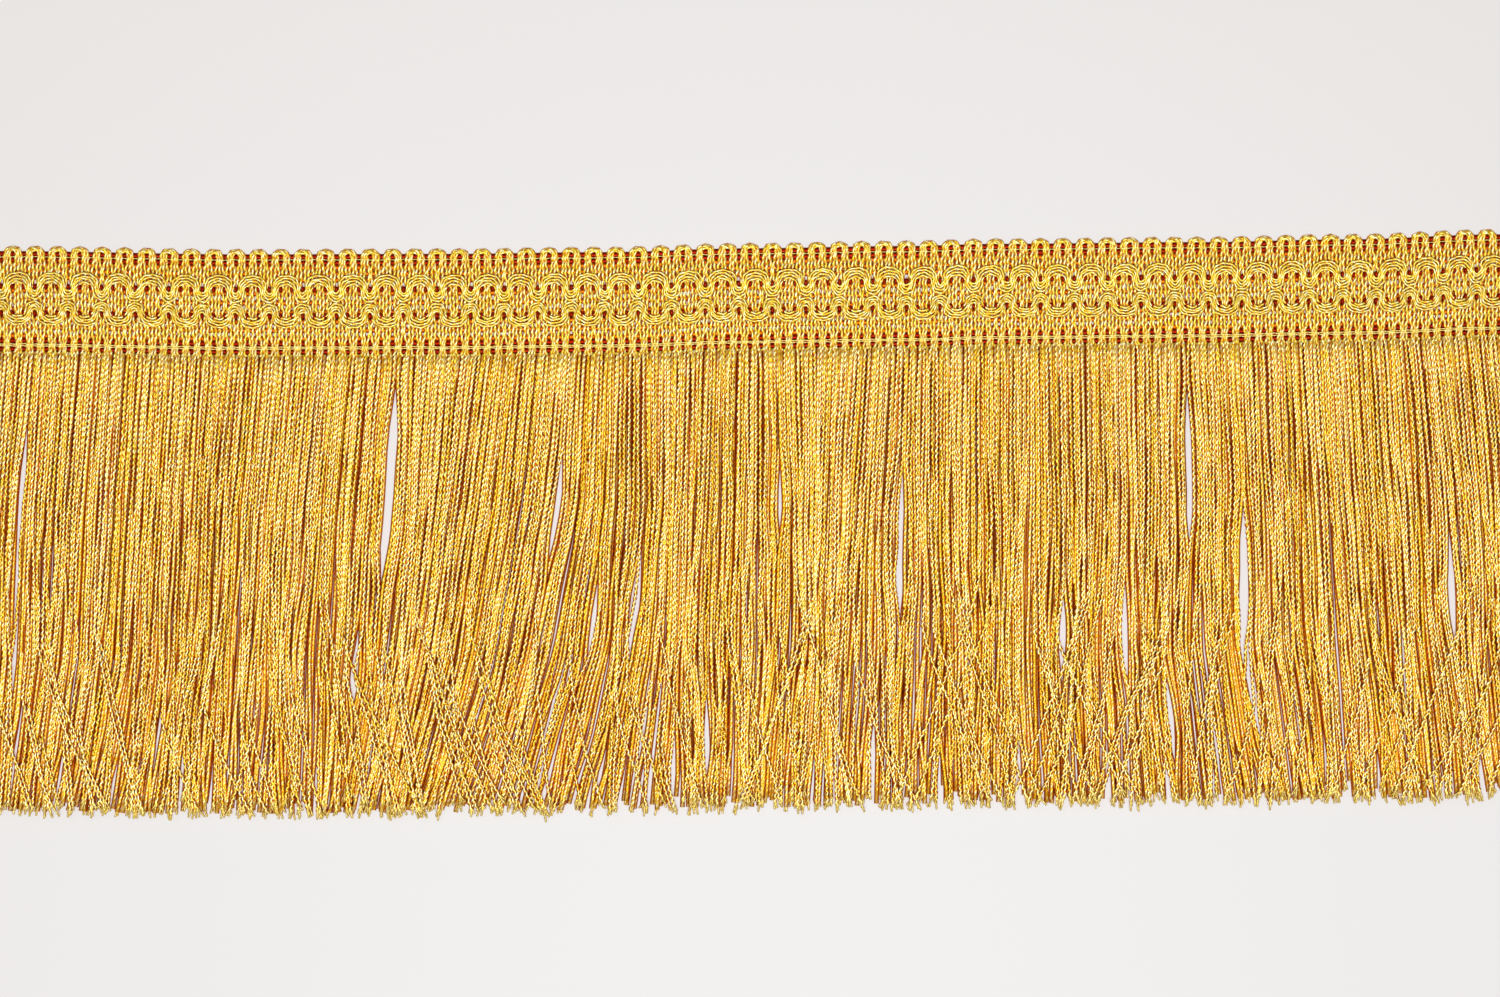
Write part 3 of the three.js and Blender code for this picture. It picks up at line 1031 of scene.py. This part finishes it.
stray_starts = np.arange(FIRST_STRAY, TOP_CORDS - MOST_TOGETHER, STRAY_EVERY)
together = skirt_random.integers(1, MOST_TOGETHER + 1, len(stray_starts))
strays = np.concatenate([
    start + np.arange(count) for start, count in zip(stray_starts, together)
])
leaves = np.repeat(skirt_random.uniform(*STRAY_LEAVES, len(stray_starts)), together)
left_over = CORD_LENGTH * (1 - leaves)
led_aside = sideways_run(top_along[strays], 1.0) - sideways_run(top_along[strays], leaves)
own_slope = np.repeat(skirt_random.normal(0, STRAY_SLOPE, len(stray_starts)), together)
own_slope = own_slope + skirt_random.normal(0, STRAY_APART, len(strays))
own_slope = own_slope - STRAY_AGAINST * led_aside / left_over
stray_drift = np.clip(own_slope, -STEEPEST_STRAY, STEEPEST_STRAY) * left_over - led_aside
gone_share = np.clip((top_share - leaves[:, None]) / (1 - leaves[:, None]), 0, 1)
top_paths[strays, :, 0] += stray_drift[:, None] * gone_share ** STRAY_CURVE
top_paths[strays, :, 2] += STRAY_HEIGHT * np.clip(gone_share * STRAY_CLIMB, 0, 1)
print(len(strays), "cords stray over their neighbours")

# %% Meshes of the top cords
FRAY_SHARE = 0.985
FRAY_CREST = 0.15
FRAY_VALLEY = 0.3
FRAY_PALE = 0.7
LAY_SPREAD = (0.93, 1.10)


def cord_winding(paths):
    """The angle of the twist along each cord, with each cord's own lay and start."""
    lay = CORD_LAY * skirt_random.uniform(*LAY_SPREAD, (len(paths), 1))
    start = skirt_random.uniform(0, math.pi, (len(paths), 1))
    slack = wander(*paths.shape[:2], TWIST_KNOTS, TWIST_SLACK, TWIST_SLACK)
    return start - 2 * math.pi * travelled(paths) / lay + slack


top_winding = cord_winding(top_paths)
top_tone = skirt_random.normal(0, 1, TOP_CORDS)
# Painted light: strays lie on top, so they are made paler, with more painted highlights
top_tone[strays] += STRAY_LIGHT
top_fray = np.clip((top_share - FRAY_SHARE) / (1 - FRAY_SHARE), 0, 1)[None, :]

for number, members in enumerate(np.array_split(np.arange(TOP_CORDS), TOP_PIECES)):
    make_yarns(
        f"top_cords_{number + 1}", top_paths[members], CORD_CREST * (1 + FRAY_CREST * top_fray),
        CORD_VALLEY * (1 + FRAY_VALLEY * top_fray), top_winding[members], cord_gold,
        tone=top_tone[members], frayed=top_fray * FRAY_PALE,
    )

# %% Cords below them
LOWER_LAYERS = (
    # name, cords, rings, lowest and highest height, jitter, drawn, lean, shared, loose, deep
    # (painted shade)
    ("middle_cords", 260, 38, (0.88, 1.04), 0.15, 0.1, 1.3, 0.35, 0.8, 0.11),
    ("back_cords", 400, 20, (0.46, 0.52), 0.04, 0.0, 0.15, 0.10, 0.25, 0.18),
)
LOWER_RADIUS = 0.43
cut_paths = [top_paths]

for name, cords, rings, heights, jitter, drawn, lean, shared, loose, deep in LOWER_LAYERS:
    height = skirt_random.uniform(*heights, cords)
    along = hang_along(cords, jitter)
    paths = cord_paths(along, rings, height, drawn, lean, shared, loose, shortest=1.4)
    cut_paths.append(paths)
    make_yarns(
        name, paths, LOWER_RADIUS, None, cord_winding(paths), cord_gold,
        tone=skirt_random.normal(0, 1, cords), deep=deep,
    )

# %% [markdown]
# ## Cut ends
#
# Scissors leave no neat end on a twisted cord. The last turn springs open and its strands
# part into a small pale brush, which gives the lower edge its soft and uneven line. Each
# brush is a few fine strands that start inside the cord and spread as they go.

# %% Cut ends
# strands at the end of each top, middle and back cord
BRUSHES = (3, 2, 0)
STRAND_RINGS = 4
STRAND_RADIUS = 0.17
STRAND_ROOT = 0.9
STRAND_LENGTH = (1.2, 2.0)
STRAND_SPREAD = 0.34
STRAND_CURVE = 1.3
STRAND_PALE = 0.55
LOWEST_STRAND = 0.2


def brush(paths, strands):
    """Fine strands that spread from the end of each cord, the same number for each."""
    tip = np.repeat(paths[:, -1], strands, axis=0)
    onward = tip - np.repeat(paths[:, -2], strands, axis=0)
    onward /= np.linalg.norm(onward, axis=1, keepdims=True)
    aside = skirt_random.normal(0, STRAND_SPREAD, onward.shape)
    length = skirt_random.uniform(*STRAND_LENGTH, (len(tip), 1))
    part = np.linspace(0, 1, STRAND_RINGS)[None, :, None]
    reach = (part * length[:, None] - STRAND_ROOT) * onward[:, None]
    strand = tip[:, None] + reach + aside[:, None] * part ** STRAND_CURVE
    strand[:, :, 2] = np.maximum(strand[:, :, 2], LOWEST_STRAND)
    return strand


strand_paths = np.concatenate([
    brush(paths, strands) for paths, strands in zip(cut_paths, BRUSHES) if strands
])
# A winding of minus a quarter turn puts the painted highlight on top of each strand and the
# painted shade at its sides
make_yarns(
    "cut_ends", strand_paths, STRAND_RADIUS, None, -math.pi / 2, cord_gold,
    tone=skirt_random.normal(0, 1, len(strand_paths)), frayed=STRAND_PALE,
)

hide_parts("fringe")

# %% [markdown]
# ## Finish
#
# The heading is the one sheet of the trim: 300 mm of band, 19 mm wide, laid flat, with
# everything else sewn into it. The boxes of the solid model are kept, hidden. The two boxes
# are kept to show that the yarns fill the space of the solid model.

CUT_LENGTH * MM
print(sum(triangle_counts), "triangles of yarn")
